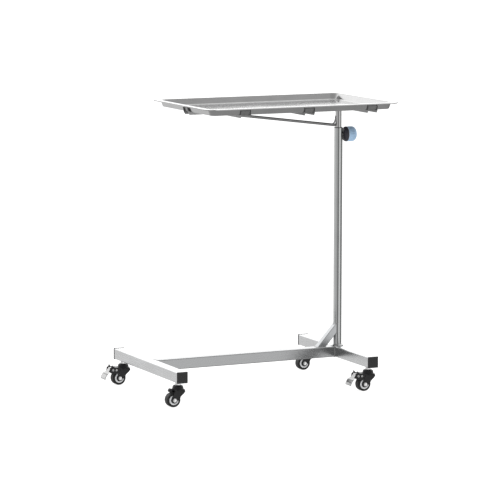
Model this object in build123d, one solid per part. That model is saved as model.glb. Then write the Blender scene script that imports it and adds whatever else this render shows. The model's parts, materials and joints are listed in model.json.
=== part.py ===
from build123d import *
import math
import os

# Instrument cart: a height-adjustable tray on a side column, carried by a wheeled H-shaped base.
# Millimetres. +Z up, Z = 0 is the floor, +X runs from the foot end towards the column,
# -Y is the front. The origin is on the floor under the middle of the whole cart.

# ---------------------------------------------------------------- driving dimensions
CLEAR = 0.3               # gap between pieces on bodies that move past each other
RUNNING_FIT = 0.05        # radial clearance of a shaft in its bore

# base
BAR_SIZE = 38.0           # square tube of the base
BAR_WALL = 1.5
BAR_CORNER = 3.0
BASE_LENGTH = 740.0       # between the centre lines of the two crossbars
BASE_WIDTH = 560.0        # crossbars over their end caps
BAR_BOTTOM = 87.0
BAR_TOP = BAR_BOTTOM + BAR_SIZE
CAP_FLANGE = 3.5
CAP_SIZE = 40.0           # flange of an end cap, a little larger than the tube
CAP_CORNER = 2.0
CAP_PLUG_DEPTH = 14.0

# column
COLUMN_RADIUS = 15.0
COLUMN_BORE = 13.5
COLUMN_TOP = 916.0
FOOT_RADIUS = 22.0
FOOT_HEIGHT = 5.0
BRACE_SIZE = 25.0
BRACE_WALL = 1.5
BRACE_ANGLE = 48.0        # degrees above the beam
BRACE_FOOT_X = -69.0      # where its centre line meets the top of the beam, from the column axis
GUIDE_LENGTH = 12.0
GUIDE_LIP = 2.0

# sliding mast
MAST_RADIUS = 11.0
MAST_BORE = 9.8
MAST_BOTTOM = 451.0
GLIDE_LENGTH = 40.0
ROD_RADIUS = 5.0
ROD_START_Z = 924.5       # rod centre at the mast axis
ROD_SLOPE = 0.129         # rise per unit of run towards -X
MAST_PLATE = (70.0, 44.0, 3.0)

# tray and its carrier
TRAY_LEFT = -628.0        # rim, from the column axis
TRAY_RIGHT = 125.0
TRAY_WIDTH = 490.0
TRAY_TOP = 1021.0
TRAY_DEPTH = 24.0
TRAY_SHEET = 1.2
TRAY_RIM = 20.0
TRAY_RIM_CORNER = 38.0
TRAY_MOUTH_CORNER = 28.0
TRAY_FLARE = 20.0         # degrees from vertical
TRAY_BEND = 5.0           # inner radius where wall meets floor
HEM_WIDTH = 4.0
HEM_THICKNESS = 2.4
STRIP_WIDTH = 38.0
STRIP_HEIGHT = 10.0
STRIP_SHEET = 1.5
STRIP_CENTRES = (-473.0, -226.0, 21.0)
STRIP_NAMES = ("left", "middle", "right")
SPINE_Y = -14.0           # the spine runs a little in front of the mast's axis
CLIP_TOP = TRAY_TOP - 9.0
CLIP_DEPTH = 5.0          # how far the edges of a turned-up clip stand out
CLIP_GAP = 0.4            # between a clip and the wall of the tray
CLIP_KNEE = 3.0           # size of the bevel where a strip turns up into its clip

# clamp knob
KNOB_Z = 892.5
KNOB_RADIUS = 27.0
KNOB_BACK_X = 18.2
KNOB_HUB_RADIUS = 10.0
KNOB_SPLIT_X = 31.0
KNOB_FRONT_X = 66.0
KNOB_FRONT_ROUND = 13.0
KNOB_FLUTES = 18
BOSS_RADIUS = 8.0
BOSS_END_X = 17.6
STUD_RADIUS = 4.0
PAD_RADIUS = 3.4
PAD_THICKNESS = 2.4

# casters
CASTER_Y = 240.0
WHEEL_RADIUS = 25.0
WHEEL_WIDTH = 26.0
TRAIL = 20.0
CORE_RADIUS = 17.0
CORE_RECESS_RADIUS = 11.5
CORE_RECESS_DEPTH = 3.0
HUB_RADIUS = 7.5
AXLE_RADIUS = 4.0
LEG_INSIDE = WHEEL_WIDTH / 2 + 1.2
LEG_THICKNESS = 3.0
LEG_OUTSIDE = LEG_INSIDE + LEG_THICKNESS
LEG_END_RADIUS = 11.0
HEAD_BOTTOM = 57.0
HEAD_TOP = 75.0
HEAD_RADIUS = 20.5
RACE_RADIUS = 10.5
RACE_SUNK = 5.0
STEM_RADIUS = 5.0
STEM_TOP = 115.0
NUT_ACROSS = 17.0
AXLE_HEAD_ACROSS = 11.5
AXLE_HEAD_HEIGHT = 5.0
LUG_CENTRE = (-29.0, 58.0)       # round lug on the back of a fork without a brake
LUG_RADIUS = 7.0

# caster brakes
PEDAL_PIVOT = (-46.5, 56.0)      # x and z from the caster's swivel axis and the floor
PEDAL_TIP = (-80.0, 24.0)
PEDAL_NECK_WIDTH = 24.0
PEDAL_TREAD_WIDTH = 42.0
PEDAL_PIN_RADIUS = 2.5
EAR_THICKNESS = 2.0
RIVET_PLACE = (-32.5, 55.0)
RIVET_RADIUS = 1.5
RIVET_HEAD_RADIUS = 3.4

# the cart's extreme ends decide where its middle is
CART_LEFT = -BASE_LENGTH + PEDAL_TIP[0]
COLUMN_X = -(CART_LEFT + TRAY_RIGHT) / 2

CASTERS = {
    "left_front": (-BASE_LENGTH, -CASTER_Y, False),
    "left_rear": (-BASE_LENGTH, CASTER_Y, True),
    "right_front": (0.0, -CASTER_Y, True),
    "right_rear": (0.0, CASTER_Y, False),
}


# ---------------------------------------------------------------- small helpers
def save(shape, name):
    """Write one sub-part, moved from column-centred to cart-centred X."""
    placed = Pos(COLUMN_X, 0, 0) * shape
    placed.label = name
    export_step(placed, f"parts/{name}.step")


def cylinder_along(axis, radius, start, end):
    """A cylinder on the X, Y or Z axis between two coordinates."""
    turn = {"X": Rot(0, 90, 0), "Y": Rot(-90, 0, 0), "Z": Rot(0, 0, 0)}[axis]
    place = {"X": Pos(start, 0, 0), "Y": Pos(0, start, 0), "Z": Pos(0, 0, start)}[axis]
    body = Cylinder(radius, end - start, align=(Align.CENTER, Align.CENTER, Align.MIN))
    return place * turn * body


def block(x0, x1, y0, y1, z0, z1):
    """A box between two corners."""
    body = Box(x1 - x0, y1 - y0, z1 - z0, align=(Align.MIN, Align.MIN, Align.MIN))
    return Pos(x0, y0, z0) * body


def hexagon_prism(across, start, end):
    """A hexagonal prism along Z, given its size across the flats."""
    face = RegularPolygon(across / 2, 6, major_radius=False)
    return Pos(0, 0, start) * extrude(face, end - start)


def side_plate(outline, y0, y1):
    """An outline in the XZ plane, thickened between two Y coordinates."""
    face = make_face(outline)
    plate = extrude(face, y1 - y0, dir=(0, 1, 0))
    return Pos(0, y0, 0) * plate


def square_tube(length, size, wall, corner):
    """A square tube along X, centred on the origin."""
    outer = RectangleRounded(size, size, corner)
    inner = RectangleRounded(size - 2 * wall, size - 2 * wall, corner - wall / 2)
    tube = extrude(outer - inner, length)
    return Pos(-length / 2, 0, 0) * Rot(0, 90, 0) * tube


# ---------------------------------------------------------------- base
def crossbar():
    """One foot of the base, along Y, drilled underneath for the two caster stems."""
    length = BASE_WIDTH - 2 * CAP_FLANGE
    tube = Rot(0, 0, 90) * square_tube(length, BAR_SIZE, BAR_WALL, BAR_CORNER)
    tube = Pos(0, 0, BAR_BOTTOM + BAR_SIZE / 2) * tube
    for y in (-CASTER_Y, CASTER_Y):
        hole = cylinder_along("Z", STEM_RADIUS, BAR_BOTTOM - 1, BAR_BOTTOM + BAR_WALL + 1)
        tube -= Pos(0, y, 0) * hole
    return tube


def long_beam():
    """The beam between the crossbars, welded to their inner faces."""
    length = BASE_LENGTH - BAR_SIZE
    tube = square_tube(length, BAR_SIZE, BAR_WALL, BAR_CORNER)
    return Pos(-BASE_LENGTH / 2, 0, BAR_BOTTOM + BAR_SIZE / 2) * tube


def end_cap():
    """A ribbed push-in cap facing -Y, its flange back at Y = 0."""
    flange = Rot(90, 0, 0) * extrude(RectangleRounded(CAP_SIZE, CAP_SIZE, CAP_CORNER), CAP_FLANGE)
    flange = chamfer(flange.edges().group_by(Axis.Y)[0], 0.8)
    rib_count = 7
    rib_pitch = (BAR_SIZE - 8) / rib_count
    for index in range(rib_count):
        z = (index - (rib_count - 1) / 2) * rib_pitch
        groove = block(-BAR_SIZE / 2 + 4, BAR_SIZE / 2 - 4, -CAP_FLANGE - 1, -CAP_FLANGE + 0.6,
                       z - 0.8, z + 0.8)
        flange -= groove
    plug_size = BAR_SIZE - 2 * BAR_WALL - 0.4
    plug = block(-plug_size / 2, plug_size / 2, 0, CAP_PLUG_DEPTH, -plug_size / 2, plug_size / 2)
    plug = fillet(plug.edges().filter_by(Axis.Y), BAR_CORNER - BAR_WALL / 2)
    hollow = plug_size / 2 - 2.0
    plug -= block(-hollow, hollow, 0, CAP_PLUG_DEPTH + 1, -hollow, hollow)
    return flange + plug


def column_tube():
    """The fixed outer tube, drilled on the knob side for the clamp."""
    tube = cylinder_along("Z", COLUMN_RADIUS, BAR_TOP, COLUMN_TOP)
    tube -= cylinder_along("Z", COLUMN_BORE, BAR_TOP - 1, COLUMN_TOP + 1)
    tube -= Pos(0, 0, KNOB_Z) * cylinder_along("X", STUD_RADIUS + RUNNING_FIT, 5, BOSS_END_X)
    return tube


def column_foot():
    """The welded collar around the bottom of the column."""
    collar = cylinder_along("Z", FOOT_RADIUS, BAR_TOP, BAR_TOP + FOOT_HEIGHT)
    collar = chamfer(collar.edges().group_by(Axis.Z)[-1], 1.5)
    return collar - cylinder_along("Z", COLUMN_RADIUS, BAR_TOP - 1, BAR_TOP + FOOT_HEIGHT + 1)


def column_brace():
    """The slanted square strut from the beam to the column, coped to both."""
    length = 150.0
    strut = square_tube(length, BRACE_SIZE, BRACE_WALL, 2.5)
    strut = Pos(BRACE_FOOT_X, 0, BAR_TOP) * Rot(0, -BRACE_ANGLE, 0) * Pos(length / 4, 0, 0) * strut
    far = 400.0
    strut -= block(-far, far, -far, far, -far, BAR_TOP)
    strut -= block(0, far, -far, far, -far, far)
    return strut - cylinder_along("Z", COLUMN_RADIUS, BAR_TOP - 1, COLUMN_TOP)


def column_guide():
    """The plastic guide bush pressed into the top of the column."""
    lip = cylinder_along("Z", COLUMN_RADIUS + 0.4, COLUMN_TOP, COLUMN_TOP + GUIDE_LIP)
    lip = chamfer(lip.edges().group_by(Axis.Z)[-1], 0.8)
    sleeve = cylinder_along("Z", COLUMN_BORE, COLUMN_TOP - GUIDE_LENGTH, COLUMN_TOP)
    bore = cylinder_along("Z", MAST_RADIUS + RUNNING_FIT, 0, COLUMN_TOP + GUIDE_LIP + 1)
    return lip + sleeve - bore


def clamp_boss():
    """The round threaded boss welded to the column for the clamp screw."""
    boss = cylinder_along("X", BOSS_RADIUS, 0, BOSS_END_X)
    boss = chamfer(boss.edges().group_by(Axis.X)[-1], 1.0)
    boss -= cylinder_along("Z", COLUMN_RADIUS, -50, 50)
    boss -= cylinder_along("X", STUD_RADIUS + RUNNING_FIT, 5, BOSS_END_X + 1)
    return Pos(0, 0, KNOB_Z) * boss


# ---------------------------------------------------------------- clamp knob
def knob_back():
    """The domed black back of the knob."""
    rim_start = KNOB_SPLIT_X - 2.5
    with BuildSketch(Plane.XZ) as section:
        with BuildLine():
            Polyline((KNOB_BACK_X, STUD_RADIUS), (KNOB_BACK_X, KNOB_HUB_RADIUS))
            ThreePointArc((KNOB_BACK_X, KNOB_HUB_RADIUS), (KNOB_BACK_X + 2.4, KNOB_RADIUS - 6.5),
                          (rim_start, KNOB_RADIUS))
            Polyline((rim_start, KNOB_RADIUS), (KNOB_SPLIT_X, KNOB_RADIUS),
                     (KNOB_SPLIT_X, STUD_RADIUS), (KNOB_BACK_X, STUD_RADIUS))
        make_face()
    body = revolve(section.sketch, Axis.X)
    return Pos(0, 0, KNOB_Z) * body


def knob_grip():
    """The fluted grip and face of the knob."""
    grip = cylinder_along("X", KNOB_RADIUS, KNOB_SPLIT_X, KNOB_FRONT_X)
    grip = fillet(grip.edges().group_by(Axis.X)[-1], KNOB_FRONT_ROUND)
    flute_radius = 2.2
    for index in range(KNOB_FLUTES):
        flute = cylinder_along("X", flute_radius, KNOB_SPLIT_X - 1, KNOB_FRONT_X + 1)
        grip -= Rot(index * 360 / KNOB_FLUTES, 0, 0) * Pos(0, 0, KNOB_RADIUS + flute_radius - 0.8) * flute
    grip -= cylinder_along("X", STUD_RADIUS, KNOB_SPLIT_X - 1, KNOB_FRONT_X - 10)
    return Pos(0, 0, KNOB_Z) * grip


def clamp_stud():
    """The clamp screw moulded into the knob, up to the swivelling pad."""
    pad_end = MAST_RADIUS + CLEAR + PAD_THICKNESS
    stud = cylinder_along("X", STUD_RADIUS, pad_end + CLEAR, KNOB_FRONT_X - 10)
    stud = chamfer(stud.edges().group_by(Axis.X)[0], 0.8)
    return Pos(0, 0, KNOB_Z) * stud


def clamp_pad():
    """The small pad that the screw pushes against the mast."""
    start = MAST_RADIUS + CLEAR
    pad = cylinder_along("X", PAD_RADIUS, start, start + PAD_THICKNESS)
    return Pos(0, 0, KNOB_Z) * pad


# ---------------------------------------------------------------- mast and tray carrier
def frame_bottom():
    """Height of the underside of the carrier's channels."""
    return TRAY_TOP - TRAY_DEPTH - CLEAR - STRIP_HEIGHT


def inner_tube():
    """The mast: the inner tube that carries the tray."""
    tube = cylinder_along("Z", MAST_RADIUS, MAST_BOTTOM, frame_bottom() - MAST_PLATE[2])
    return tube - cylinder_along("Z", MAST_BORE, MAST_BOTTOM - 1, frame_bottom() + 1)


def glide_bush():
    """The bush at the foot of the mast, free to turn on it and sliding in the column."""
    bush = cylinder_along("Z", COLUMN_BORE - RUNNING_FIT, MAST_BOTTOM + 1, MAST_BOTTOM + GLIDE_LENGTH)
    return bush - cylinder_along("Z", MAST_RADIUS + RUNNING_FIT, MAST_BOTTOM, MAST_BOTTOM + GLIDE_LENGTH + 1)


def mast_plate():
    """The plate on top of the mast that the spine and the right strip are welded to."""
    length, width, thickness = MAST_PLATE
    plate = extrude(RectangleRounded(length, width, 6), thickness)
    return Pos(6, 0, frame_bottom() - thickness) * plate


def support_rod():
    """The slanted round rod from the mast out to the far end of the spine."""
    angle = math.degrees(math.atan(ROD_SLOPE))
    length = 620.0
    rod = Rot(0, angle, 0) * cylinder_along("X", ROD_RADIUS, -length, 0)
    rod = Pos(0, 0, ROD_START_Z) * rod
    far = 1000.0
    rod -= block(-far, far, -far, far, frame_bottom(), 2 * far)
    return rod - cylinder_along("Z", MAST_RADIUS, MAST_BOTTOM, TRAY_TOP)


def clip_line(half_low, half_high, offset, drop):
    """The folded line of a channel with turned-up ends, offset outward and down."""
    low = TRAY_TOP - TRAY_DEPTH - CLEAR - drop
    right = [
        (half_low - CLIP_KNEE + offset / 2, low),
        (half_low + offset, low + CLIP_KNEE + drop / 2),
        (half_high + offset, CLIP_TOP),
    ]
    left = [(-x, z) for x, z in reversed(right)]
    return left + right


def folded_channel(half_low, half_high):
    """A channel along X whose ends turn up against the flared walls of the tray.

    It opens downward, and its turned-up ends open outward."""
    inner = clip_line(half_low, half_high, 0.0, 0.0)
    sheet = clip_line(half_low, half_high, STRIP_SHEET, STRIP_SHEET)
    lip = clip_line(half_low, half_high, CLIP_DEPTH, STRIP_HEIGHT)
    web = side_plate(Plane.XZ * Polyline(*inner, *reversed(sheet), close=True),
                     -STRIP_WIDTH / 2, STRIP_WIDTH / 2)
    flange_outline = Plane.XZ * Polyline(*inner, *reversed(lip), close=True)
    front = side_plate(flange_outline, -STRIP_WIDTH / 2, -STRIP_WIDTH / 2 + STRIP_SHEET)
    back = side_plate(flange_outline, STRIP_WIDTH / 2 - STRIP_SHEET, STRIP_WIDTH / 2)
    return web + front + back


def clip_spans(rim_half):
    """Half spans of a clip's inner face at its knee and at its top, for a tray half size."""
    slope = math.tan(math.radians(TRAY_FLARE))
    wall_top = rim_half - TRAY_RIM + CLIP_GAP
    knee_height = TRAY_TOP - TRAY_DEPTH + CLIP_KNEE
    low = wall_top - (TRAY_TOP - knee_height) * slope
    high = wall_top - (TRAY_TOP - CLIP_TOP) * slope
    return low, high


def cross_strip(centre_x):
    """One strip across the tray, along Y, with a clip at each end."""
    low, high = clip_spans(TRAY_WIDTH / 2)
    return Pos(centre_x, 0, 0) * Rot(0, 0, 90) * folded_channel(low, high)


def spine():
    """The channel along the middle of the tray, in lengths welded between the strips."""
    low, high = clip_spans((TRAY_RIGHT - TRAY_LEFT) / 2)
    channel = Pos((TRAY_RIGHT + TRAY_LEFT) / 2, SPINE_Y, 0) * folded_channel(low, high)
    for centre_x in STRIP_CENTRES:
        channel -= block(centre_x - STRIP_WIDTH / 2, centre_x + STRIP_WIDTH / 2,
                         SPINE_Y - STRIP_WIDTH, SPINE_Y + STRIP_WIDTH, frame_bottom() - 1, TRAY_TOP)
    return channel


def tray_shell(inset, depth, bend):
    """A flared rounded dish, as a solid, from the rim plane down."""
    length = TRAY_RIGHT - TRAY_LEFT - 2 * TRAY_RIM - 2 * inset
    width = TRAY_WIDTH - 2 * TRAY_RIM - 2 * inset
    mouth = RectangleRounded(length, width, TRAY_MOUTH_CORNER - inset)
    dish = extrude(mouth, -depth, taper=TRAY_FLARE)
    return fillet(dish.edges().group_by(Axis.Z)[0], bend)


def tray():
    """The pressed tray: floor, flared walls, flat out-turned rim with a folded hem."""
    length = TRAY_RIGHT - TRAY_LEFT
    rim_face = RectangleRounded(length, TRAY_WIDTH, TRAY_RIM_CORNER)
    rim = extrude(rim_face, -TRAY_SHEET)
    hem_face = rim_face - RectangleRounded(length - 2 * HEM_WIDTH, TRAY_WIDTH - 2 * HEM_WIDTH,
                                           TRAY_RIM_CORNER - HEM_WIDTH)
    hem = extrude(hem_face, -HEM_THICKNESS)
    dish = tray_shell(0, TRAY_DEPTH, TRAY_BEND + TRAY_SHEET)
    hollow = tray_shell(TRAY_SHEET, TRAY_DEPTH - TRAY_SHEET, TRAY_BEND)
    body = rim + hem + dish - hollow
    return Pos((TRAY_RIGHT + TRAY_LEFT) / 2, 0, TRAY_TOP) * body


# ---------------------------------------------------------------- casters
def caster_stem():
    """The threaded stem with its hexagon shoulder and its riveted lower end."""
    stem = cylinder_along("Z", STEM_RADIUS, HEAD_BOTTOM - 2.5, STEM_TOP)
    stem = chamfer(stem.edges().group_by(Axis.Z)[-1], 1.0)
    rivet_head = cylinder_along("Z", STEM_RADIUS + 3, HEAD_BOTTOM - 2.5, HEAD_BOTTOM - CLEAR)
    shoulder = hexagon_prism(NUT_ACROSS, HEAD_TOP + 1.0, BAR_BOTTOM)
    inside = BAR_BOTTOM + BAR_WALL
    lock_nut = hexagon_prism(NUT_ACROSS, inside, inside + 8)
    return stem + rivet_head + shoulder + lock_nut


def swivel_race():
    """The ball race between the stem's shoulder and the swivel head."""
    race = cylinder_along("Z", RACE_RADIUS, HEAD_TOP - RACE_SUNK, HEAD_TOP + 1.0)
    return race - cylinder_along("Z", STEM_RADIUS, 0, STEM_TOP)


def leg_outline():
    """One fork leg in the XZ plane: broad under the head, round at the axle."""
    end = Pos(-TRAIL, WHEEL_RADIUS) * Circle(LEG_END_RADIUS)
    shoulder = Polyline((-15, HEAD_BOTTOM + 5), (18, HEAD_BOTTOM + 5), (21, HEAD_BOTTOM - 3),
                        (16, HEAD_BOTTOM - 10), (4, HEAD_BOTTOM - 20), (0, WHEEL_RADIUS + 2),
                        (-TRAIL + LEG_END_RADIUS - 0.9, WHEEL_RADIUS - 4),
                        (-TRAIL - LEG_END_RADIUS + 0.6, WHEEL_RADIUS + 3), (-24, HEAD_BOTTOM - 13),
                        (-19, HEAD_BOTTOM - 5), close=True)
    return end + make_face(shoulder)


def swivel_head():
    """The domed swivel head, bored for the stem and recessed for the race."""
    bore = STEM_RADIUS + RUNNING_FIT
    recess = RACE_RADIUS + CLEAR
    recess_floor = HEAD_TOP - RACE_SUNK - CLEAR
    shoulder = HEAD_TOP - 7.0
    waist = HEAD_RADIUS - 2.0
    with BuildSketch(Plane.XZ) as section:
        with BuildLine():
            Polyline((recess, HEAD_TOP), (recess, recess_floor), (bore, recess_floor),
                     (bore, HEAD_BOTTOM), (HEAD_RADIUS, HEAD_BOTTOM),
                     (HEAD_RADIUS, HEAD_BOTTOM + 3), (waist, shoulder))
            ThreePointArc((waist, shoulder), (waist - 1.7, HEAD_TOP - 1.9), (waist - 5.5, HEAD_TOP))
            Line((waist - 5.5, HEAD_TOP), (recess, HEAD_TOP))
        make_face()
    return revolve(section.sketch, Axis.Z)


def caster_fork(has_brake):
    """The black fork: swivel head, two legs and the web that joins them in front."""
    face = Plane.XZ * leg_outline()
    fork = swivel_head()
    for side in (-1, 1):
        leg = extrude(face, LEG_THICKNESS, dir=(0, side, 0))
        leg = Pos(0, side * LEG_INSIDE, 0) * leg
        fork += leg
    fork += block(11, 15, -LEG_INSIDE - 1, LEG_INSIDE + 1, HEAD_BOTTOM - 7, HEAD_BOTTOM + 2)
    if not has_brake:
        lug = cylinder_along("Y", LUG_RADIUS, -LUG_RADIUS, LUG_RADIUS)
        lug = fillet(lug.edges().filter_by(GeomType.CIRCLE), 2.5)
        fork += Pos(LUG_CENTRE[0], 0, LUG_CENTRE[1]) * lug
        fork += block(LUG_CENTRE[0], -14, -4, 4, HEAD_BOTTOM, LUG_CENTRE[1] + 4)
    bore = cylinder_along("Y", AXLE_RADIUS, -LEG_OUTSIDE - 1, LEG_OUTSIDE + 1)
    return fork - Pos(-TRAIL, 0, WHEEL_RADIUS) * bore


def axle_bolt():
    """The axle bolt with its head and nut."""
    bolt = cylinder_along("Y", AXLE_RADIUS, -LEG_OUTSIDE - AXLE_HEAD_HEIGHT - 1.5,
                          LEG_OUTSIDE + AXLE_HEAD_HEIGHT)
    bolt = chamfer(bolt.edges().group_by(Axis.Y)[0], 0.8)
    for start in (-LEG_OUTSIDE - AXLE_HEAD_HEIGHT, LEG_OUTSIDE):
        hexagon = hexagon_prism(AXLE_HEAD_ACROSS, 0, AXLE_HEAD_HEIGHT)
        bolt += Pos(0, start, 0) * Rot(-90, 0, 0) * hexagon
    return Pos(-TRAIL, 0, WHEEL_RADIUS) * bolt


def wheel_tyre():
    """The black tread ring."""
    tyre = cylinder_along("Y", WHEEL_RADIUS, -WHEEL_WIDTH / 2, WHEEL_WIDTH / 2)
    tyre = fillet(tyre.edges(), 3.0)
    tyre -= cylinder_along("Y", CORE_RADIUS, -WHEEL_WIDTH, WHEEL_WIDTH)
    return Pos(-TRAIL, 0, WHEEL_RADIUS) * tyre


def wheel_core():
    """The pale wheel centre: a raised ring, a recessed web and the hub."""
    half = WHEEL_WIDTH / 2
    core = cylinder_along("Y", CORE_RADIUS, -half, half)
    for side in (-1, 1):
        start = half - CORE_RECESS_DEPTH
        recess = cylinder_along("Y", CORE_RECESS_RADIUS, start, half + 1)
        recess -= cylinder_along("Y", HUB_RADIUS, start - 1, half + 2)
        if side < 0:
            recess = mirror(recess, Plane.XZ)
        core -= recess
    core += cylinder_along("Y", HUB_RADIUS, -LEG_INSIDE + CLEAR, LEG_INSIDE - CLEAR)
    core -= cylinder_along("Y", AXLE_RADIUS + RUNNING_FIT, -WHEEL_WIDTH, WHEEL_WIDTH)
    return Pos(-TRAIL, 0, WHEEL_RADIUS) * core


# ---------------------------------------------------------------- caster brakes
def brake_bracket(fork):
    """Two ears and a cover riveted to the back of the swivel head, with a release spike."""
    px, pz = PEDAL_PIVOT
    outline = [
        (-14, HEAD_BOTTOM - 4), (-14, HEAD_TOP - 12), (px + 12, pz + 9), (px + 3.5, pz + 10),
        (px - 2.5, pz + 18), (px - 5, pz + 11), (px - 10.5, pz + 8), (px - 13.5, pz - 6.5),
        (px - 5, pz - 12), (px + 6, pz - 15), (px + 24, pz - 13),
    ]
    ear_outline = Plane.XZ * Polyline(*outline, close=True)
    outside = LEG_INSIDE + EAR_THICKNESS
    bracket = side_plate(ear_outline, LEG_INSIDE, outside)
    bracket += side_plate(ear_outline, -outside, -LEG_INSIDE)
    bracket += block(px + 12, -14, -LEG_INSIDE - 1, LEG_INSIDE + 1, pz + 6, pz + 8)
    bracket -= fork
    bracket -= cylinder_along("Z", HEAD_RADIUS, HEAD_BOTTOM, HEAD_TOP)
    rivet_x, rivet_z = RIVET_PLACE
    bracket -= Pos(rivet_x, 0, rivet_z) * cylinder_along("Y", RIVET_RADIUS, -outside, outside)
    bracket -= Pos(px, 0, pz) * cylinder_along("Y", PEDAL_PIN_RADIUS, -outside, outside)
    return bracket


def brake_pins():
    """The pedal's pivot pin and the two rivets of the bracket."""
    outside = LEG_INSIDE + EAR_THICKNESS
    head_height = 1.5
    pin = cylinder_along("Y", PEDAL_PIN_RADIUS, -outside, outside)
    rivet = cylinder_along("Y", RIVET_RADIUS, LEG_INSIDE, outside)
    for start in (-outside - head_height, outside):
        pin += cylinder_along("Y", RIVET_HEAD_RADIUS, start, start + head_height)
    rivet += cylinder_along("Y", RIVET_HEAD_RADIUS, outside, outside + head_height)
    rivet = Pos(RIVET_PLACE[0], 0, RIVET_PLACE[1]) * rivet
    pin = Pos(PEDAL_PIVOT[0], 0, PEDAL_PIVOT[1]) * pin
    return Compound(children=[pin, rivet, mirror(rivet, Plane.XZ)])


def pedal_plan():
    """The pedal seen from above: a neck between the ears and a wider tread outside them."""
    neck = PEDAL_NECK_WIDTH / 2
    tread = PEDAL_TREAD_WIDTH / 2
    tip = PEDAL_TIP[0] - PEDAL_PIVOT[0]
    front = [(3, -neck), (-14, -neck), (-18.5, -tread), (tip + 2, -tread), (tip, -tread + 3)]
    back = [(x, -y) for x, y in reversed(front)]
    plan = make_face(Polyline(*front, *back, close=True))
    return Pos(0, 0, -100) * extrude(plan, 200)


def brake_pedal():
    """The stamped pedal: a hub on the pin, a shoe that reaches the tread, and the tread plate."""
    px, pz = PEDAL_PIVOT
    tip_x = PEDAL_TIP[0] - px
    tip_z = PEDAL_TIP[1] - pz
    half_hub = PEDAL_NECK_WIDTH / 2 - 1
    hub = cylinder_along("Y", PEDAL_PIN_RADIUS + 2.2, -half_hub, half_hub)
    outer = [(-1, 9), (-6, 9), (-12, -1), (-17, -8), (-24, -13), (-30, -23), (tip_x, tip_z)]
    inner = [(tip_x + 2, tip_z), (-28, -22.2), (-22.4, -14.6), (-15.6, -9.6), (-10.2, -1.6), (-5, 7), (-1, 7)]
    plate = side_plate(Plane.XZ * Polyline(*outer, *inner, close=True),
                       -PEDAL_TREAD_WIDTH / 2, PEDAL_TREAD_WIDTH / 2)
    plate = plate & pedal_plan()
    shoe_line = [(-4.5, 0), (4.5, 0), (7.5, -11), (6.4, -13.8), (4, -13.5), (-3, -7)]
    shoe = side_plate(Plane.XZ * Polyline(*shoe_line, close=True), -9, 9)
    neck_line = [(-4.5, 0), (4, 0), (1, 8), (-5, 8)]
    neck = side_plate(Plane.XZ * Polyline(*neck_line, close=True), -6, 6)
    pedal = hub + plate + shoe + neck
    pedal -= cylinder_along("Y", PEDAL_PIN_RADIUS + RUNNING_FIT, -PEDAL_TREAD_WIDTH, PEDAL_TREAD_WIDTH)
    return Pos(px, 0, pz) * pedal


# ---------------------------------------------------------------- write every sub-part
def save_base():
    """The welded base with the column, its guide and the clamp boss."""
    for side, x in (("left", -BASE_LENGTH), ("right", 0.0)):
        save(Pos(x, 0, 0) * crossbar(), f"{side}_crossbar")
        cap_z = BAR_BOTTOM + BAR_SIZE / 2
        cap_y = BASE_WIDTH / 2 - CAP_FLANGE
        save(Pos(x, -cap_y, cap_z) * end_cap(), f"end_cap_{side}_front")
        save(Pos(x, cap_y, cap_z) * Rot(0, 0, 180) * end_cap(), f"end_cap_{side}_rear")
    save(long_beam(), "long_beam")
    save(column_tube(), "column_tube")
    save(column_foot(), "column_foot")
    save(column_brace(), "column_brace")
    save(column_guide(), "column_guide")
    save(clamp_boss(), "clamp_boss")


def save_mast():
    """The sliding mast, the carrier of the tray and the tray."""
    save(glide_bush(), "glide_bush")
    save(inner_tube(), "inner_tube")
    save(mast_plate(), "mast_plate")
    save(support_rod(), "support_rod")
    save(spine(), "carrier_spine")
    for name, centre_x in zip(STRIP_NAMES, STRIP_CENTRES):
        save(cross_strip(centre_x), f"carrier_strip_{name}")
    save(tray(), "tray")


def save_knob():
    """The clamp knob, its screw and the pad on the screw's tip."""
    save(knob_back(), "knob_back")
    save(knob_grip(), "knob_grip")
    save(clamp_stud(), "clamp_stud")
    save(clamp_pad(), "clamp_pad")


def save_caster(name, x, y, has_brake):
    """One swivel caster, with a brake where the cart has one."""
    place = Pos(x, y, 0)
    fork = caster_fork(has_brake)
    save(place * caster_stem(), f"caster_stem_{name}")
    save(place * swivel_race(), f"swivel_race_{name}")
    save(place * fork, f"caster_fork_{name}")
    save(place * axle_bolt(), f"axle_bolt_{name}")
    save(place * wheel_tyre(), f"tyre_{name}")
    save(place * wheel_core(), f"wheel_core_{name}")
    if has_brake:
        save(place * brake_bracket(fork), f"brake_bracket_{name}")
        save(place * brake_pins(), f"brake_pins_{name}")
        save(place * brake_pedal(), f"brake_pedal_{name}")


os.makedirs("parts", exist_ok=True)
save_base()
save_mast()
save_knob()
for caster_name, (caster_x, caster_y, caster_brake) in CASTERS.items():
    save_caster(caster_name, caster_x, caster_y, caster_brake)
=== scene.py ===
import json
import math

import bmesh
import bpy
from mathutils import Matrix, Vector


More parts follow.
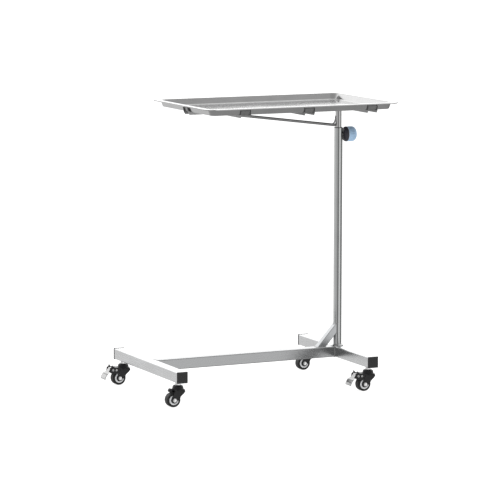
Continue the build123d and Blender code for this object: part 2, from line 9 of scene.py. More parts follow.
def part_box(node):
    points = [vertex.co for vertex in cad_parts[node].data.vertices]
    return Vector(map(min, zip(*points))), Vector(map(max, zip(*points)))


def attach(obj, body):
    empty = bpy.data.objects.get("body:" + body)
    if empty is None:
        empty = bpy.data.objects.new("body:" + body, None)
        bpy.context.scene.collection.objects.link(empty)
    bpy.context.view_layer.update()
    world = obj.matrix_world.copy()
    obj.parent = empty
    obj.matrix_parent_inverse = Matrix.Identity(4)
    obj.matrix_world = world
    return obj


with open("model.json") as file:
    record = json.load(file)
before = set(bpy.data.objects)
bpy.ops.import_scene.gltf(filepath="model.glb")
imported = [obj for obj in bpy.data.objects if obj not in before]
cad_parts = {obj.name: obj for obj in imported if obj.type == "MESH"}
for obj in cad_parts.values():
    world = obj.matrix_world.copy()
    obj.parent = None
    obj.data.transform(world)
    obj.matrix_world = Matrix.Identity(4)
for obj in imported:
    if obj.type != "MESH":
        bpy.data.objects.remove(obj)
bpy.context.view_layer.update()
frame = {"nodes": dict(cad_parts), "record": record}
NODES = frame["nodes"]
SLOT_OF = {part["node"]: part["material_slot"] for part in frame["record"]["subparts"]}


# ---------------------------------------------------------------- camera
CAMERA_AZIMUTH = 25.51       # degrees from looking along +Y towards +X
CAMERA_ELEVATION = 7.69
CAMERA_ROLL = 0.10
CAMERA_DISTANCE = 10.8
CAMERA_LENS = 218.1          # millimetres
CAMERA_REACH = 200           # metres
CAMERA_AIM = Vector((0.0086, 0.0244, 0.4895))


def add_camera():
    """The telephoto camera, aimed at a point near the middle of the cart."""
    yaw = math.radians(CAMERA_AZIMUTH)
    pitch = math.radians(CAMERA_ELEVATION)
    away = Vector((-math.sin(yaw) * math.cos(pitch), -math.cos(yaw) * math.cos(pitch), math.sin(pitch)))
    data = bpy.data.cameras.new("camera")
    data.lens = CAMERA_LENS
    data.clip_end = CAMERA_REACH
    camera = bpy.data.objects.new("camera", data)
    camera.location = CAMERA_AIM + away * CAMERA_DISTANCE
    turn = Matrix.Rotation(-yaw, 4, "Z") @ Matrix.Rotation(math.pi / 2 - pitch, 4, "X")
    turn = turn @ Matrix.Rotation(math.radians(CAMERA_ROLL), 4, "Z")
    camera.rotation_euler = turn.to_euler()
    bpy.context.scene.collection.objects.link(camera)
    bpy.context.scene.camera = camera


# ---------------------------------------------------------------- node helpers
class Graph:
    """A short way to write a material's node graph."""

    def __init__(self, name):
        self.material = bpy.data.materials.new(name)
        self.material.use_nodes = True
        self.tree = self.material.node_tree
        self.tree.nodes.clear()
        self.output = self.add("ShaderNodeOutputMaterial")
        self.shader = self.add("ShaderNodeBsdfPrincipled")
        self.link(self.shader.outputs[0], self.output.inputs["Surface"])

    def add(self, kind, **settings):
        node = self.tree.nodes.new(kind)
        for key, value in settings.items():
            setattr(node, key, value)
        return node

    def link(self, source, target):
        self.tree.links.new(source, target)

    def set(self, **values):
        for key, value in values.items():
            self.shader.inputs[key.replace("_", " ")].default_value = value

    def place(self, scale=(1, 1, 1)):
        """Object coordinates in metres, stretched by a scale."""
        coords = self.add("ShaderNodeTexCoord")
        mapping = self.add("ShaderNodeMapping")
        mapping.inputs["Scale"].default_value = scale
        self.link(coords.outputs["Object"], mapping.inputs["Vector"])
        return mapping.outputs[0]

    def noise(self, vector, scale, detail=4.0, rough=0.55):
        node = self.add("ShaderNodeTexNoise")
        node.inputs["Scale"].default_value = scale
        node.inputs["Detail"].default_value = detail
        node.inputs["Roughness"].default_value = rough
        self.link(vector, node.inputs["Vector"])
        return node.outputs["Fac"]

    def ramp(self, value, stops):
        """A colour ramp from a list of (position, grey or colour)."""
        node = self.add("ShaderNodeValToRGB")
        elements = node.color_ramp.elements
        while len(elements) < len(stops):
            elements.new(0.5)
        for element, (position, colour) in zip(elements, stops):
            element.position = position
            if isinstance(colour, (int, float)):
                colour = (colour, colour, colour)
            element.color = (*colour, 1.0)
        self.link(value, node.inputs["Fac"])
        return node.outputs["Color"]

    def mix(self, factor, a, b, blend="MIX"):
        node = self.add("ShaderNodeMix", data_type="RGBA", blend_type=blend)
        for value, socket in ((factor, node.inputs[0]), (a, node.inputs[6]), (b, node.inputs[7])):
            if isinstance(value, (int, float)):
                socket.default_value = value
            elif isinstance(value, tuple):
                socket.default_value = (*value, 1.0)
            else:
                self.link(value, socket)
        return node.outputs[2]

    def bump(self, height, distance, strength=1.0, normal=None):
        node = self.add("ShaderNodeBump")
        node.inputs["Distance"].default_value = distance
        node.inputs["Strength"].default_value = strength
        self.link(height, node.inputs["Height"])
        if normal is not None:
            self.link(normal, node.inputs["Normal"])
        return node.outputs["Normal"]


# ---------------------------------------------------------------- materials
GRAIN_STRETCH = 0.02         # width of the grain's marks for a length of one
SMUDGE_SCALE = 9.0
PAINTED_SHADE_EDGE = 0.0005            # the height over which the painted shade on the steel fades in
DUST_SCALE = 60.0            # of the faint dust on plastics


def steel(name, tint, rough, grain, grain_scale=900.0, grain_depth=2e-5, smudge=0.06, painted_shade_above=None):
    """Stainless steel with a drawn grain, faint smudges and an uneven polish.

    grain is the axis that the grain runs along. The last argument is a height in metres and a
    factor: above that height the colour is multiplied by the factor, a painted shade."""
    g = Graph(name)
    stretch = {"X": (GRAIN_STRETCH, 1, 1), "Y": (1, GRAIN_STRETCH, 1), "Z": (1, 1, GRAIN_STRETCH)}[grain]
    fine = g.noise(g.place(stretch), grain_scale, 3.0)
    cloud = g.noise(g.place(), SMUDGE_SCALE, 5.0)
    dark = tuple(c * (1 - smudge) for c in tint)
    light = tuple(min(1.0, c * (1 + smudge)) for c in tint)
    colour = g.ramp(cloud, [(0.3, dark), (0.7, light)])
    streak = g.ramp(fine, [(0.25, 0.86), (0.75, 1.0)])
    colour = g.mix(1.0, colour, streak, "MULTIPLY")
    # painted shade: the colour is darkened above a given height
    if painted_shade_above:
        split = g.add("ShaderNodeSeparateXYZ")
        g.link(g.place(), split.inputs[0])
        upper = g.add("ShaderNodeMapRange")
        upper.inputs["From Min"].default_value = painted_shade_above[0] - PAINTED_SHADE_EDGE
        upper.inputs["From Max"].default_value = painted_shade_above[0]
        upper.inputs["To Min"].default_value = 1.0
        upper.inputs["To Max"].default_value = painted_shade_above[1]
        g.link(split.outputs["Z"], upper.inputs["Value"])
        colour = g.mix(1.0, colour, upper.outputs["Result"], "MULTIPLY")
    g.link(colour, g.shader.inputs["Base Color"])
    rough_map = g.ramp(g.mix(0.5, fine, cloud), [(0.3, rough * 0.75), (0.7, rough * 1.25)])
    g.link(rough_map, g.shader.inputs["Roughness"])
    g.link(g.bump(fine, grain_depth), g.shader.inputs["Normal"])
    g.set(Metallic=1.0)
    return g.material


def plastic(name, colour, rough, bump_scale=700.0, bump_depth=3e-5, coat=0.0, shine=0.5):
    """Moulded plastic with a fine texture, faint dust and softened colour."""
    g = Graph(name)
    fine = g.noise(g.place(), bump_scale, 2.0)
    cloud = g.noise(g.place(), DUST_SCALE, 4.0)
    light = tuple(min(1.0, c * 1.25 + 0.004) for c in colour)
    g.link(g.ramp(cloud, [(0.35, colour), (0.75, light)]), g.shader.inputs["Base Color"])
    g.link(g.ramp(cloud, [(0.3, rough * 0.85), (0.7, rough * 1.2)]), g.shader.inputs["Roughness"])
    g.link(g.bump(fine, bump_depth), g.shader.inputs["Normal"])
    g.set(Coat_Weight=coat, Coat_Roughness=0.12, Specular_IOR_Level=shine)
    return g.material


# Painted shade: the tray's steel is darkened above RIM_HEIGHT, over its rim.
RIM_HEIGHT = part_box("tray")[1][2] - 0.0013
RIM_PAINTED_SHADE = 0.72


def make_materials():
    """One material for each finish on the cart."""
    return {
        # The long beam's steel is a darker copy of the crossbars' steel: painted shade on the beam's front
        # face.
        "base_x_painted_shade": steel("base_steel_along_x_painted_shade", (0.42, 0.425, 0.43), 0.26, "X"),
        "base_y": steel("base_steel_along_y", (0.66, 0.665, 0.67), 0.26, "Y"),
        "brace": steel("brace_steel", (0.52, 0.53, 0.54), 0.30, "Z"),
        "column": steel("column_steel", (0.60, 0.61, 0.61), 0.16, "Z"),
        "mast": steel("mast_steel", (0.60, 0.60, 0.60), 0.14, "Z"),
        # Painted shade: the carrier's steel is darker than the rest, for its place in shadow under the tray.
        "carrier": steel("carrier_steel", (0.32, 0.32, 0.32), 0.30, "X"),
        # the tray's rim is darkened in colour: painted shade
        "tray": steel("tray_steel", (0.54, 0.54, 0.54), 0.15, "X", grain_depth=5e-6,
                      painted_shade_above=(RIM_HEIGHT, RIM_PAINTED_SHADE)),
        "cap": plastic("cap_plastic", (0.011, 0.011, 0.012), 0.42),
        "guide": plastic("guide_plastic", (0.03, 0.03, 0.03), 0.5),
        "knob_black": plastic("knob_black", (0.030, 0.029, 0.040), 0.35),
        "knob_blue": plastic("knob_blue", (0.29, 0.43, 0.59), 0.40),
        # Painted highlight: a paler blue for the ring at the knob's split.
        "knob_painted_highlight": plastic("knob_painted_highlight", (0.52, 0.61, 0.72), 0.35),
        "caster_black": plastic("caster_black", (0.008, 0.008, 0.009), 0.30, coat=0.03, shine=0.26),
        "tyre": plastic("tyre_rubber", (0.014, 0.014, 0.014), 0.55, shine=0.3),
        "wheel_grey": plastic("wheel_grey", (0.62, 0.63, 0.64), 0.4),
        "chrome": steel("chrome", (0.78, 0.78, 0.78), 0.08, "Y", grain_depth=2e-6),
        "weld": steel("weld_steel", (0.50, 0.50, 0.50), 0.34, "Z", grain_scale=400.0),
        "race": steel("race_steel", (0.40, 0.40, 0.40), 0.3, "Z"),
        # Painted shade: the pedal's chrome is a darkened copy of the chrome, to dim its reflections.
        "pedal": steel("pedal_chrome", (0.40, 0.40, 0.40), 0.16, "Y", grain_depth=4e-6),
        # Painted shade: near-black steel for the lines along the pedal's edges and across its tip.
        "pedal_painted_shade": steel("painted_shade_pedal_steel", (0.07, 0.07, 0.07), 0.3, "Y"),
        "brass": steel("brass", (0.60, 0.45, 0.20), 0.3, "X"),
    }


MATERIAL_OF_SLOT = {
    "column_steel": "column",
    "mast_steel": "mast",
    "carrier_steel": "carrier",
    "tray_steel": "tray",
    "cap_plastic": "cap",
    "guide_plastic": "guide",
    "knob_black": "knob_black",
    "knob_blue": "knob_blue",
    "caster_black": "caster_black",
    "bracket_black": "caster_black",
    "tyre_rubber": "tyre",
    "wheel_grey": "wheel_grey",
    "fastener_steel": "chrome",
    "race_steel": "race",
    "pedal_chrome": "pedal",
    "pad_brass": "brass",
}
MATERIAL_OF_NODE = {
    "left_crossbar": "base_y",
    "right_crossbar": "base_y",
    "long_beam": "base_x_painted_shade",
    "column_brace": "brace",
    "column_foot": "column",
}


def dress_cad(materials):
    """Give every CAD node its material."""
    for name, node in NODES.items():
        key = MATERIAL_OF_NODE.get(name) or MATERIAL_OF_SLOT[SLOT_OF[name]]
        node.data.materials.clear()
        node.data.materials.append(materials[key])


# ---------------------------------------------------------------- shapes for the small pieces
def add_piece(name, bm, body, material):
    """Turn a bmesh into a smooth object that rides on a CAD body."""
    bmesh.ops.recalc_face_normals(bm, faces=bm.faces)
    mesh = bpy.data.meshes.new(name)
    bm.to_mesh(mesh)
    bm.free()
    for face in mesh.polygons:
        face.use_smooth = True
    mesh.materials.append(material)
    piece = bpy.data.objects.new(name, mesh)
    bpy.context.scene.collection.objects.link(piece)
    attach(piece, body)
    return piece


def resample(points, spacing, closed):
    """Points along a polyline at about one spacing."""
    points = [Vector(p) for p in points]
    if closed:
        points.append(points[0])
    result = []
    for start, end in zip(points, points[1:]):
        steps = max(1, round((end - start).length / spacing))
        result += [start.lerp(end, step / steps) for step in range(steps)]
    if not closed:
        result.append(points[-1])
    return result


STEPS_PER_SCALE = 4          # rings along one scale of a weld


def sweep(bm, points, radius, closed=False, sides=8, ripple=0.0, pitch=0.0022):
    """Add a round bead along a polyline; ripple makes the scales of a weld."""
    path = resample(points, pitch / STEPS_PER_SCALE, closed) if ripple else [Vector(p) for p in points]
    count = len(path)
    tangents = []
    for index in range(count):
        before = path[index - 1] if closed or index > 0 else path[index]
        after = path[(index + 1) % count] if closed or index < count - 1 else path[index]
        tangents.append((after - before).normalized())
    normal = tangents[0].orthogonal().normalized()
    rings = []
    for index, (point, tangent) in enumerate(zip(path, tangents)):
        normal = (normal - tangent * normal.dot(tangent)).normalized()
        side = tangent.cross(normal)
        swell = 1 + ripple * math.sin(2 * math.pi * index / STEPS_PER_SCALE)
        ring = []
        for corner in range(sides):
            angle = 2 * math.pi * corner / sides
            offset = (normal * math.cos(angle) + side * math.sin(angle)) * radius * swell
            ring.append(bm.verts.new(point + offset))
        rings.append(ring)
    pairs = list(zip(rings, rings[1:]))
    if closed:
        pairs.append((rings[-1], rings[0]))
    else:
        bm.faces.new(rings[0])
        bm.faces.new(rings[-1])
    for first, second in pairs:
        for corner in range(sides):
            after = (corner + 1) % sides
            bm.faces.new((first[corner], first[after], second[after], second[corner]))


def lathe(bm, centre, axis, profile, segments=40):
    """Add a closed profile of (radius, distance along the axis), turned about an axis."""
    turn = Vector((0, 0, 1)).rotation_difference(Vector(axis)).to_matrix()
    rings = []
    for step in range(segments):
        angle = 2 * math.pi * step / segments
        ring = []
        for radius, along in profile:
            local = Vector((radius * math.cos(angle), radius * math.sin(angle), along))
            ring.append(bm.verts.new(Vector(centre) + turn @ local))
        rings.append(ring)
    count = len(profile)
    for first, second in zip(rings, rings[1:] + rings[:1]):
        for index in range(count):
            after = (index + 1) % count
            bm.faces.new((first[index], first[after], second[after], second[index]))


def circle(centre, axis, radius, segments=48):
    """Points around a circle."""
    turn = Vector((0, 0, 1)).rotation_difference(Vector(axis)).to_matrix()
    points = []
    for step in range(segments):
        angle = 2 * math.pi * step / segments
        points.append(Vector(centre) + turn @ Vector((radius * math.cos(angle), radius * math.sin(angle), 0)))
    return points


def rounded_rectangle(low, high, radius, z, steps=8):
    """Points around a level rectangle with round corners."""
    points = []
    corners = ((high[0], high[1], 0), (low[0], high[1], 90), (low[0], low[1], 180), (high[0], low[1], 270))
    for x, y, start in corners:
        inward_x = radius if x == low[0] else -radius
        inward_y = radius if y == low[1] else -radius
        for step in range(steps + 1):
            angle = math.radians(start + 90 * step / steps)
            points.append((x + inward_x + radius * math.cos(angle),
                           y + inward_y + radius * math.sin(angle), z))
    return points


def middle(low, high):
    """The centre of a box."""
    return (Vector(low) + Vector(high)) / 2


# ---------------------------------------------------------------- welds
WELD_RADIUS = 0.0015
FINE_WELD_RADIUS = 0.0012
WELD_RIPPLE = 0.16
WELD_CORNER = 0.00024        # how far the seam cuts across a corner of the tube
BRACE_ANGLE = math.radians(48.0)
BRACE_SLOPE = math.tan(BRACE_ANGLE)
ROD_END_LIFT = 0.0014        # rise of the rod's end over the lowest point of its box
STRIP_SEAM = (0.0006, 0.0088)
GUSSET_RADIUS = 0.0028
GUSSET_BEND = [(-0.0150, 0.0042), (-0.0090, 0.0062), (-0.0050, 0.0100), (-0.0025, 0.0160),
               (-0.0008, 0.0240), (0.0012, 0.0340)]       # x from the mast's side, z from the rod


def add_base_welds(metal):
    """The seams of the base: beam to crossbars, foot ring, brace and clamp boss."""
    beam_low, beam_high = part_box("long_beam")
    column_low, column_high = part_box("column_tube")
    column = middle(column_low, column_high)
    column_radius = (column_high[0] - column_low[0]) / 2
    foot_low, foot_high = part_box("column_foot")
    brace_low, brace_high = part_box("column_brace")
    bm = bmesh.new()
    for x in (beam_low[0], beam_high[0]):
        loop = []
        for y, z in ((beam_low[1], beam_low[2]), (beam_high[1], beam_low[2]),
                     (beam_high[1], beam_high[2]), (beam_low[1], beam_high[2])):
            inward_y = WELD_CORNER if y < 0 else -WELD_CORNER
            inward_z = WELD_CORNER if z == beam_low[2] else -WELD_CORNER
            loop.append((x, y + inward_y, z + inward_z))
        sweep(bm, loop, WELD_RADIUS, closed=True, ripple=WELD_RIPPLE)
    add_piece("weld_beam_ends", bm, "base", metal)

    bm = bmesh.new()
    foot_radius = (foot_high[0] - foot_low[0]) / 2
    sweep(bm, circle((column.x, 0, foot_low[2]), (0, 0, 1), foot_radius - FINE_WELD_RADIUS),
          FINE_WELD_RADIUS, closed=True, ripple=WELD_RIPPLE)
    sweep(bm, circle((column.x, 0, foot_high[2]), (0, 0, 1), column_radius + 0.0003),
          FINE_WELD_RADIUS, closed=True, ripple=WELD_RIPPLE)
    add_piece("weld_column_foot", bm, "base", metal)

    bm = bmesh.new()
    half = (brace_high[1] - brace_low[1]) / 2
    run = 2 * half / math.sin(BRACE_ANGLE)
    top = beam_high[2]
    sweep(bm, [(brace_low[0], -half, top), (brace_low[0] + run, -half, top),
               (brace_low[0] + run, half, top), (brace_low[0], half, top)],
          WELD_RADIUS, closed=True, ripple=WELD_RIPPLE)
    for start in (brace_low[0], brace_low[0] + run):
        arc = []
        for step in range(-8, 9):
            y = half * step / 8
            x = column.x - math.sqrt(column_radius ** 2 - y ** 2)
            arc.append((x, y, top + (x - start) * BRACE_SLOPE))
        sweep(bm, arc, WELD_RADIUS, ripple=WELD_RIPPLE)
    for y in (-half, half):
        x = column.x - math.sqrt(column_radius ** 2 - y ** 2)
        sweep(bm, [(x, y, top + (x - brace_low[0] - run) * BRACE_SLOPE),
                   (x, y, top + (x - brace_low[0]) * BRACE_SLOPE)], WELD_RADIUS, ripple=WELD_RIPPLE)
    add_piece("weld_brace", bm, "base", metal)

    boss_low, boss_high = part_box("clamp_boss")
    boss = middle(boss_low, boss_high)
    boss_radius = (boss_high[2] - boss_low[2]) / 2
    loop = []
    for step in range(36):
        angle = 2 * math.pi * step / 36
        y = boss_radius * math.cos(angle)
        x = column.x + math.sqrt(column_radius ** 2 - y ** 2)
        loop.append((x + 0.0002, y, boss.z + boss_radius * math.sin(angle)))
    bm = bmesh.new()
    sweep(bm, loop, 0.0008, closed=True, ripple=WELD_RIPPLE)
    add_piece("weld_clamp_boss", bm, "base", metal)


def add_mast_welds(metal):
    """The seams of the mast plate, the rod and the crossings of the carrier, and the rod's gusset."""
    plate_low, plate_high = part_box("mast_plate")
    tube_low, tube_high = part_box("inner_tube")
    tube = middle(tube_low, tube_high)
    tube_radius = (tube_high[0] - tube_low[0]) / 2
    rod_low, rod_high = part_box("support_rod")
    rod_radius = (rod_high[1] - rod_low[1]) / 2
    bm = bmesh.new()
    sweep(bm, circle((tube.x, 0, plate_low[2]), (0, 0, 1), tube_radius + 0.0003),
          FINE_WELD_RADIUS, closed=True, ripple=WELD_RIPPLE)
    add_piece("weld_mast_plate", bm, "mast", metal)
    bm = bmesh.new()
    ring = []
    for step in range(24):
        angle = 2 * math.pi * step / 24
        y = rod_radius * math.cos(angle)
        x = tube.x - math.sqrt(tube_radius ** 2 - y ** 2)
        ring.append((x - 0.0002, y, rod_low[2] + rod_radius + ROD_END_LIFT + rod_radius * math.sin(angle)))
    sweep(bm, ring, 0.0010, closed=True, ripple=WELD_RIPPLE)
    add_piece("weld_rod", bm, "mast", metal)
    bm = bmesh.new()
    rod_z = rod_low[2] + rod_radius
    edge = tube.x - tube_radius
    sweep(bm, [(edge + x, 0.0, rod_z + z) for x, z in GUSSET_BEND], GUSSET_RADIUS, sides=12)
    add_piece("rod_gusset", bm, "mast", metal)
    spine_low, spine_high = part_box("carrier_spine")
    bm = bmesh.new()
    for name in ("left", "middle", "right"):
        strip_low, strip_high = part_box(f"carrier_strip_{name}")
        for x in (strip_low[0], strip_high[0]):
            for y in (spine_low[1], spine_high[1]):
                sweep(bm, [(x, y, strip_low[2] + z) for z in STRIP_SEAM], 0.0009, ripple=WELD_RIPPLE)
    add_piece("weld_carrier", bm, "mast", metal)


# ---------------------------------------------------------------- tray, caps and knob
# inset from the rim's edge, corner radius, depth under the rim's top, radius and sides of the bead
HEM_BEADS = [(0.0010, 0.0378, 0.0024, 0.0009, 8), (0.0040, 0.0340, 0.0020, 0.0005, 6)]
CAP_FLANGE = 0.0035
CAP_LIP_RADIUS = 0.0009


def add_tray_hem(metal):
    """The rolled edge under the rim of the tray."""
    low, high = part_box("tray")
    bm = bmesh.new()
    for inset, corner, depth, radius, sides in HEM_BEADS:
        outline = rounded_rectangle((low[0] + inset, low[1] + inset), (high[0] - inset, high[1] - inset),
                                    corner, high[2] - depth)
        sweep(bm, outline, radius, closed=True, sides=sides)
    add_piece("tray_hem", bm, "tray", metal)


def add_cap_lips(plastic_material):
    """A soft lip around each end cap, against the end of its tube."""
    bm = bmesh.new()
    for side in ("left", "right"):
        for end, sign in (("front", -1), ("rear", 1)):
            low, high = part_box(f"end_cap_{side}_{end}")
            flange_y = low[1] + CAP_FLANGE if sign < 0 else high[1] - CAP_FLANGE
            inset = CAP_LIP_RADIUS
            loop = [(low[0] + inset, flange_y, low[2] + inset), (high[0] - inset, flange_y, low[2] + inset),
                    (high[0] - inset, flange_y, high[2] - inset), (low[0] + inset, flange_y, high[2] - inset)]
            sweep(bm, loop, CAP_LIP_RADIUS, closed=True, sides=6)
    add_piece("cap_lips", bm, "base", plastic_material)


def add_knob_details(black, blue, pale):
    """A collar and rings on the back of the knob, a raised ring on its face, and a pale ring at the split as
    a painted highlight.
    """
    back_low, back_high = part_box("knob_back")
    grip_low, grip_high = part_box("knob_grip")
    centre = middle(back_low, back_high)
    bm = bmesh.new()
    start = Vector((back_low[0], 0, centre.z))
    lathe(bm, start, (1, 0, 0), [(0.0086, 0.0001), (0.0098, 0.0001), (0.0108, 0.0012), (0.0108, 0.003),
                                 (0.0086, 0.003)])
    for radius, along in ((0.0150, 0.0009), (0.0205, 0.0024)):
        sweep(bm, circle(start + Vector((along, 0, 0)), (1, 0, 0), radius), 0.0006, closed=True)
    add_piece("knob_rings", bm, "clamp_screw", black)
    bm = bmesh.new()
    face = Vector((grip_high[0], 0, centre.z))
    lathe(bm, face, (1, 0, 0), [(0.0100, -0.0001), (0.0116, -0.0001), (0.0122, -0.0006), (0.0122, -0.002),
                                (0.0100, -0.002)])
    add_piece("knob_face_ring", bm, "clamp_screw", blue)
    # painted highlight: a pale ring where the black back meets the blue grip
    bm = bmesh.new()
    seam = Vector((grip_low[0] + 0.0012, 0, centre.z))
    sweep(bm, circle(seam, (1, 0, 0), 0.0262, 72), 0.0012, closed=True)
    add_piece("knob_highlight_ring", bm, "clamp_screw", pale)


# ---------------------------------------------------------------- casters
CASTERS = ("left_front", "left_rear", "right_front", "right_rear")
BRAKED = ("left_rear", "right_front")
LEG_FACE = 0.0042            # outer face of a fork's leg, from the side of the wheel
WEB_PROFILE = [(0.0113, -0.0027), (0.0113, -0.0004), (0.0105, -0.0001), (0.0090, -0.0010),
               (0.0078, -0.0012), (0.0078, -0.0027)]      # radius, height over the wheel's side
WASHER_PROFILE = [(0.0055, 0.0), (0.0070, 0.0), (0.0072, 0.0004), (0.0070, 0.0008), (0.0055, 0.0008)]
LEG_RIB = [(0.0165, -0.0200), (0.0170, -0.0250), (0.0125, -0.0305), (0.0020, -0.0400), (-0.0030, -0.0480)]
THREAD_TURNS = 3
THREAD_PITCH = 0.0005
RACE_BALLS = 14
RACE_BALL_CIRCLE = 0.0100
RACE_BALL_RADIUS = 0.0011
RIVET_HEAD_RADIUS = 0.0034
RIVET_DOME = [(0.0001, 0.0010), (0.0013, 0.0009), (0.0024, 0.0004), (0.0031, -0.0004), (0.0001, -0.0004)]
PEDAL_TREAD = [(0.0014, 0.0020), (0.0040, 0.0092), (0.0098, 0.0188)]     # x and z from the pedal's tip
PEDAL_RIDGES = [(0.0018, 0.0022), (0.0098, 0.0188)]


def add_wheel_details(name, black, rubber):
    """The dark web of the wheel and the raised rings on the sides of its tyre."""
    low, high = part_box(f"tyre_{name}")
    centre = middle(low, high)
    half = (high[1] - low[1]) / 2
    bm = bmesh.new()
    for side in (-1, 1):
        lathe(bm, centre, (0, side, 0), [(radius, half + along) for radius, along in WEB_PROFILE])
    add_piece(f"wheel_web_{name}", bm, f"wheel_{name}", black)
    bm = bmesh.new()
    for side in (-1, 1):
        y = centre.y + side * (half - 0.0001)
        for radius in (0.0182, 0.0212):
            sweep(bm, circle((centre.x, y, centre.z), (0, 1, 0), radius), 0.00045, closed=True, sides=6)
    add_piece(f"tyre_rings_{name}", bm, f"wheel_{name}", rubber)


def add_axle_details(name, metal):
    """Washers under the nut and the head of the axle, and the thread on its end."""
    low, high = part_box(f"axle_bolt_{name}")
    centre = middle(low, high)
    wheel_low, wheel_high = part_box(f"tyre_{name}")
    face = (wheel_high[1] - wheel_low[1]) / 2 + LEG_FACE
    axle = Vector((centre.x, middle(wheel_low, wheel_high).y, centre.z))
    bm = bmesh.new()
    for side in (-1, 1):
        lathe(bm, axle, (0, side, 0), [(radius, face + along) for radius, along in WASHER_PROFILE])
    for turn in range(THREAD_TURNS):
        y = low[1] + 0.0006 + turn * THREAD_PITCH
        sweep(bm, circle((axle.x, y, axle.z), (0, 1, 0), 0.0037, 24), 0.0003, closed=True, sides=6)
    add_piece(f"axle_washers_{name}", bm, f"fork_{name}", metal)


def add_fork_details(name, black, metal):
    """Pressed ribs along the legs, a rim around the head and the balls of the race.

    The ribs are placed from the swivel axis and the top of the race."""
    race_low, race_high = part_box(f"swivel_race_{name}")
    axis = middle(race_low, race_high)
    wheel_low, wheel_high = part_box(f"tyre_{name}")
    wheel = middle(wheel_low, wheel_high)
    face = (wheel_high[1] - wheel_low[1]) / 2 + LEG_FACE
    bm = bmesh.new()
    for side in (-1, 1):
        y = axis.y + side * face
        sweep(bm, [(axis.x + x, y, race_high[2] + z) for x, z in LEG_RIB], 0.0007)
        sweep(bm, circle((wheel.x, y, wheel.z), (0, 1, 0), 0.0100, 32), 0.0005, closed=True)
    sweep(bm, circle((axis.x, axis.y, race_high[2] - 0.0114), (0, 0, 1), 0.0194), 0.0006, closed=True)
    add_piece(f"fork_ribs_{name}", bm, f"fork_{name}", black)
    bm = bmesh.new()
    for index in range(RACE_BALLS):
        angle = 2 * math.pi * index / RACE_BALLS
        place = Vector((axis.x + RACE_BALL_CIRCLE * math.cos(angle),
                        axis.y + RACE_BALL_CIRCLE * math.sin(angle), race_high[2] - 0.0003))
        bmesh.ops.create_icosphere(bm, subdivisions=2, radius=RACE_BALL_RADIUS,
                                   matrix=Matrix.Translation(place))
    add_piece(f"race_balls_{name}", bm, "base", metal)


def add_brake_details(name, black, painted_shade_metal, metal):
    """The pressed edge of the bracket, near-black lines along the edges and ridges of the pedal as painted
    shade, and the rivet domes.
    """
    low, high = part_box(f"brake_bracket_{name}")
    pedal_low, pedal_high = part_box(f"brake_pedal_{name}")
    pins_low, pins_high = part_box(f"brake_pins_{name}")
    bm = bmesh.new()
    edge = [(low[0] + 0.0008, low[2] + 0.0088), (low[0] + 0.0037, low[2] + 0.0224),
            (low[0] + 0.0090, low[2] + 0.0252), (low[0] + 0.0111, high[2] - 0.0016),
            (low[0] + 0.0165, low[2] + 0.0244), (low[0] + 0.0250, low[2] + 0.0234)]
    for y in (low[1], high[1]):
        sweep(bm, [(x, y, z) for x, z in edge], 0.0006)
    add_piece(f"bracket_edge_{name}", bm, f"fork_{name}", black)
    # painted shade: near-black lines along the pedal's sides and across its tip
    bm = bmesh.new()
    centre_y = middle(pedal_low, pedal_high).y
    half = (pedal_high[1] - pedal_low[1]) / 2 - 0.0012
    for side in (-1, 1):
        y = centre_y + side * (half + 0.0004)
        sweep(bm, [(pedal_low[0] + x, y, pedal_low[2] + z) for x, z in PEDAL_TREAD], 0.0008)
    for x, z in PEDAL_RIDGES:
        place = (pedal_low[0] + x, pedal_low[2] + z)
        sweep(bm, [(place[0], centre_y - half, place[1]), (place[0], centre_y + half, place[1])], 0.0010)
    add_piece(f"pedal_shade_ridges_{name}", bm, f"pedal_{name}", painted_shade_metal)
    bm = bmesh.new()
    for y, side in ((pins_low[1], -1), (pins_high[1], 1)):
        for x, z in ((pins_low[0] + RIVET_HEAD_RADIUS, pins_high[2] - RIVET_HEAD_RADIUS),
                     (pins_high[0] - RIVET_HEAD_RADIUS, pins_low[2] + RIVET_HEAD_RADIUS)):
            lathe(bm, (x, y, z), (0, side, 0), RIVET_DOME, 24)
    add_piece(f"rivet_domes_{name}", bm, f"fork_{name}", metal)


def add_details(materials):
    """Every small piece that the CAD model leaves out."""
    add_base_welds(materials["weld"])
    add_mast_welds(materials["weld"])
    add_tray_hem(materials["tray"])
    add_cap_lips(materials["cap"])
    add_knob_details(materials["knob_black"], materials["knob_blue"], materials["knob_painted_highlight"])
    for name in CASTERS:
        add_wheel_details(name, materials["caster_black"], materials["tyre"])
        add_axle_details(name, materials["race"])
        add_fork_details(name, materials["caster_black"], materials["chrome"])
    for name in BRAKED:
        add_brake_details(name, materials["caster_black"], materials["pedal_painted_shade"],
                          materials["race"])


# ---------------------------------------------------------------- stage
FLOOR_HALF = 60.0
FLOOR_GLOW = 0.86
FLOOR_DIFFUSE = 0.35
ROOM_RADIUS = 55.0
ROOM_HEIGHT = 40.0
# level directions that the reflected surroundings are counted from
TOWARDS_FRONT = (-0.427, -0.894, 0.0)
TOWARDS_RIGHT = (0.903, -0.430, 0.0)


def hide_from(thing, **rays):
    """Switch off the kinds of ray that shouldn't meet a stage object."""
    for kind, seen in rays.items():
        setattr(thing, f"visible_{kind}", seen)


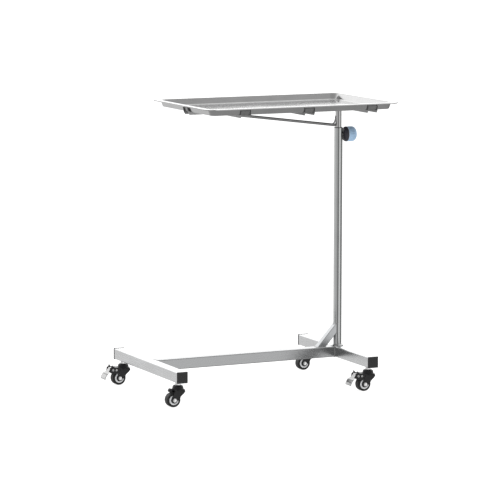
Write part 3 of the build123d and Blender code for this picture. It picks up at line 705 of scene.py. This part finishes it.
def add_floor():
    """A plain white studio floor that fades into the surroundings."""
    mesh = bpy.data.meshes.new("floor")
    bm = bmesh.new()
    bmesh.ops.create_grid(bm, x_segments=8, y_segments=8, size=FLOOR_HALF)
    bm.to_mesh(mesh)
    bm.free()
    floor = bpy.data.objects.new("floor", mesh)
    bpy.context.scene.collection.objects.link(floor)
    g = Graph("floor_white")
    g.set(Base_Color=(FLOOR_DIFFUSE, FLOOR_DIFFUSE, FLOOR_DIFFUSE, 1), Roughness=0.9,
          Emission_Color=(1, 1, 1, 1), Emission_Strength=FLOOR_GLOW, Specular_IOR_Level=0.0)
    mesh.materials.append(g.material)
    hide_from(floor, glossy=False)


def add_room():
    """A white wall far away, seen only directly, so that every side view has a plain ground."""
    mesh = bpy.data.meshes.new("room")
    bm = bmesh.new()
    bmesh.ops.create_cone(bm, segments=96, radius1=ROOM_RADIUS, radius2=ROOM_RADIUS, depth=2 * ROOM_HEIGHT,
                          cap_ends=True)
    bm.to_mesh(mesh)
    bm.free()
    room = bpy.data.objects.new("room", mesh)
    bpy.context.scene.collection.objects.link(room)
    g = Graph("room_white")
    g.set(Base_Color=(0, 0, 0, 1), Emission_Color=(1, 1, 1, 1), Emission_Strength=1.0, Specular_IOR_Level=0.0)
    mesh.materials.append(g.material)
    hide_from(room, glossy=False, diffuse=False, shadow=False, transmission=False)


# what the steel reflects: AROUND goes once round the cart in turns, 0.5 being the front;
# ABOVE goes from the back (0) to the front (1); BELOW is one level
AROUND = [(0.0, 0.95), (0.25, 0.80), (0.35, 0.62), (0.450, 0.58), (0.475, 0.26), (0.565, 0.26),
          (0.600, 1.15), (0.665, 1.15), (0.705, 0.30), (0.92, 0.28), (1.0, 0.9)]
ABOVE = [(0.0, 1.8), (0.45, 1.3), (0.75, 0.55), (1.0, 0.45)]
BELOW = 0.42


def add_world():
    """A bright studio: soft light from behind and above, and strips of light and dark around it."""
    world = bpy.data.worlds.new("studio")
    world.use_nodes = True
    tree = world.node_tree
    nodes = tree.nodes
    link = tree.links.new

    def ramp(value, stops):
        node = nodes.new("ShaderNodeValToRGB")
        elements = node.color_ramp.elements
        while len(elements) < len(stops):
            elements.new(0.5)
        for element, (position, level) in zip(elements, stops):
            element.position = position
            element.color = (level, level, level, 1.0)
        link(value, node.inputs["Fac"])
        return node.outputs["Color"]

    def remap(value, low, high):
        node = nodes.new("ShaderNodeMapRange")
        node.interpolation_type = "SMOOTHSTEP"
        node.inputs["From Min"].default_value = low
        node.inputs["From Max"].default_value = high
        link(value, node.inputs["Value"])
        return node.outputs["Result"]

    def dot(vector, direction):
        node = nodes.new("ShaderNodeVectorMath")
        node.operation = "DOT_PRODUCT"
        node.inputs[1].default_value = direction
        link(vector, node.inputs[0])
        return node.outputs["Value"]

    def blend(factor, a, b):
        node = nodes.new("ShaderNodeMix")
        node.data_type = "RGBA"
        link(factor, node.inputs[0])
        link(a, node.inputs[6])
        if isinstance(b, float):
            node.inputs[7].default_value = (b, b, b, 1.0)
        else:
            link(b, node.inputs[7])
        return node.outputs[2]

    direction = nodes.new("ShaderNodeTexCoord").outputs["Generated"]
    towards = dot(direction, TOWARDS_FRONT)
    right = dot(direction, TOWARDS_RIGHT)
    height = dot(direction, (0, 0, 1))
    angle = nodes.new("ShaderNodeMath")
    angle.operation = "ARCTAN2"
    link(right, angle.inputs[0])
    link(towards, angle.inputs[1])
    turns = nodes.new("ShaderNodeMapRange")
    turns.inputs["From Min"].default_value = -math.pi
    turns.inputs["From Max"].default_value = math.pi
    link(angle.outputs[0], turns.inputs["Value"])
    facing = nodes.new("ShaderNodeMapRange")
    facing.inputs["From Min"].default_value = -1.0
    facing.inputs["From Max"].default_value = 1.0
    link(towards, facing.inputs["Value"])
    around = ramp(turns.outputs["Result"], AROUND)
    above = ramp(facing.outputs["Result"], ABOVE)
    level = blend(remap(height, -0.05, 0.10), around, above)
    level = blend(remap(height, -0.30, -0.60), level, BELOW)
    link(level, nodes["Background"].inputs["Color"])
    nodes["Background"].inputs["Strength"].default_value = 1.0
    bpy.context.scene.world = world
    world.cycles.sampling_method = "AUTOMATIC"


def add_area(name, location, aim, size, power):
    """A soft rectangular light that polished steel doesn't mirror."""
    data = bpy.data.lights.new(name, "AREA")
    data.shape = "RECTANGLE"
    data.size = size[0]
    data.size_y = size[1]
    data.energy = power
    light = bpy.data.objects.new(name, data)
    light.location = location
    light.visible_glossy = False
    light.rotation_euler = (Vector(aim) - Vector(location)).to_track_quat("-Z", "Y").to_euler()
    bpy.context.scene.collection.objects.link(light)


def add_lights():
    """One soft key light from the upper left."""
    add_area("key", (-3.5, -2.5, 4.0), (0, 0, 0.5), (2.0, 2.0), 60)


def set_view():
    """Plain colours, without a film curve."""
    view = bpy.context.scene.view_settings
    view.view_transform = "Standard"
    view.look = "None"


materials = make_materials()
dress_cad(materials)
add_details(materials)
add_camera()
add_floor()
add_room()
add_world()
add_lights()
set_view()
